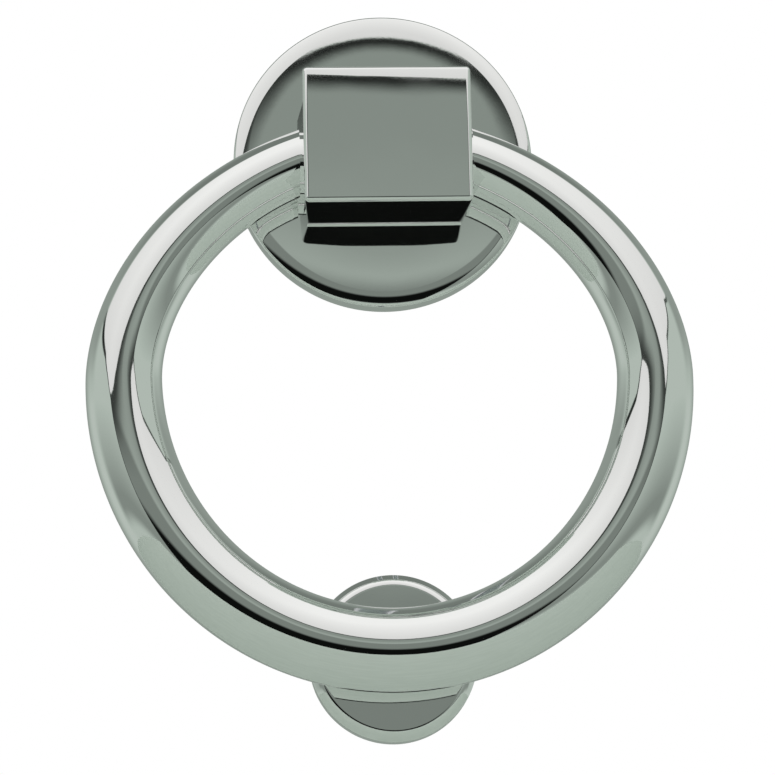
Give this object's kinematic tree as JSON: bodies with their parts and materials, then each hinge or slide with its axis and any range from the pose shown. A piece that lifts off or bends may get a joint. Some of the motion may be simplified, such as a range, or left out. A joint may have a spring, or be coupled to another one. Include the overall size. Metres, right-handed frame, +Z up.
{
  "type": "door knocker",
  "caption": "Ring door knocker: a thick tapered ring swings in a square hanger block on a round rose and strikes a separate round button, with stepped studs behind to pass through a door.",
  "frame": {"origin": "on the door's face behind the hanger block's centre, 0.4 mm above the rose's centre", "axes": "+Z up the door, +Y into the door, the front faces -Y, X across the door along the ring's hinge"},
  "size_m": [0.0996, 0.072, 0.1226],
  "materials": {
    "chrome_rose": "polished",
    "chrome_block": "polished",
    "chrome_ring": "polished",
    "chrome_striker": "polished",
    "bearing_brass": "machined",
    "zinc_steel": "zinc plated",
    "spring_steel": "phosphated"
  },
  "bodies": {
    "fixed_parts": {"rose": "chrome_rose", "hanger_block": "chrome_block", "bearing_keeper": "bearing_brass", "hanger_studs": "zinc_steel", "hanger_nuts": "zinc_steel", "lock_washers": "spring_steel", "striker": "chrome_striker", "striker_stud": "zinc_steel"},
    "ring_body": {"ring": "chrome_ring"}
  },
  "joints": [
    {"name": "ring_swing", "type": "hinge", "parent": "fixed_parts", "child": "ring_body", "pos_m": [0, -0.0125, -0.00278], "axis": [-1, 0, 0], "range_deg": [0, 180]}
  ]
}
